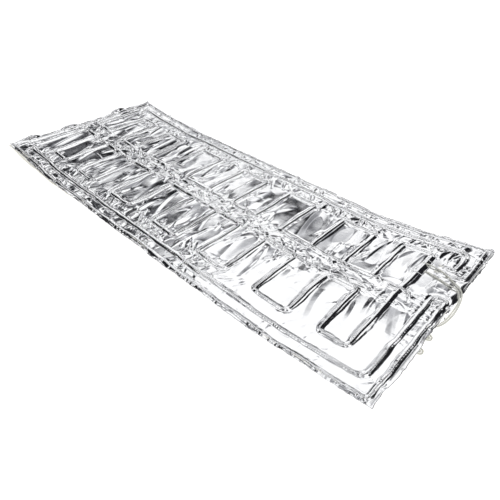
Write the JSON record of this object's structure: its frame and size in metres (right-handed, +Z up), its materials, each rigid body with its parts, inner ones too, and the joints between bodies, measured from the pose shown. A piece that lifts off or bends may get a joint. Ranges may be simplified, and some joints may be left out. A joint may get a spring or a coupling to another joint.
{
  "type": "foil-faced heated sleeping pad",
  "caption": "Long foldable sleeping pad of thin foam faced with crinkled aluminium foil over a looped heating cable, with leads at the foot end.",
  "frame": {"origin": "centre of the pad's length and width, on the underside of the middle foam panel", "axes": "+X runs along the pad towards the end that the leads leave from, +Y across the pad, +Z up"},
  "size_m": [1.8157, 0.728, 0.0687],
  "materials": {
    "foam": "soft closed-cell foam, cream",
    "foil": "bright crinkled foil",
    "foil_tape": "bright foil tape",
    "cable_sheath": "smooth insulation",
    "heating_wire": "drawn resistance wire",
    "splice_sleeve": "shrunk sleeve",
    "tinned_copper": "tinned",
    "lead_sheath": "translucent pale yellow insulation",
    "copper_wire": "drawn copper"
  },
  "bodies": {
    "middle_panel": {"middle_foam": "foam", "middle_lower_foil": "foil", "middle_upper_foil": "foil", "middle_cable_sheath": "cable_sheath", "middle_cable_core": "heating_wire"},
    "head_panel": {"head_foam": "foam", "head_lower_foil": "foil", "head_upper_foil": "foil", "head_cable_sheath": "cable_sheath", "head_cable_core": "heating_wire"},
    "foot_panel": {"foot_foam": "foam", "foot_lower_foil": "foil", "foot_upper_foil": "foil", "foot_cable_sheath": "cable_sheath", "foot_cable_core": "heating_wire", "supply_splice_sleeve": "splice_sleeve", "return_splice_sleeve": "splice_sleeve", "supply_crimp": "tinned_copper", "return_crimp": "tinned_copper", "exit_patch": "foil_tape", "supply_lead_sheath": "lead_sheath", "supply_lead_core": "copper_wire", "return_lead_sheath": "lead_sheath", "return_lead_core": "copper_wire"},
    "lead_tail": {"supply_tail_sheath": "lead_sheath", "supply_tail_core": "copper_wire", "return_tail_sheath": "lead_sheath", "return_tail_core": "copper_wire", "supply_ferrule": "tinned_copper", "return_ferrule": "tinned_copper"}
  },
  "joints": [
    {"name": "head_fold", "type": "hinge", "parent": "middle_panel", "child": "head_panel", "pos_m": [-0.51, 0, 0.012], "axis": [0, 1, 0], "range_deg": [-5, 166]},
    {"name": "foot_fold", "type": "hinge", "parent": "middle_panel", "child": "foot_panel", "pos_m": [0.49, 0, 0.012], "axis": [0, -1, 0], "range_deg": [0, 164]},
    {"name": "lead_swing", "type": "hinge", "parent": "foot_panel", "child": "lead_tail", "pos_m": [0.911, 0.07, 0.012], "axis": [0, 0, 1], "range_deg": [0, 110]}
  ]
}
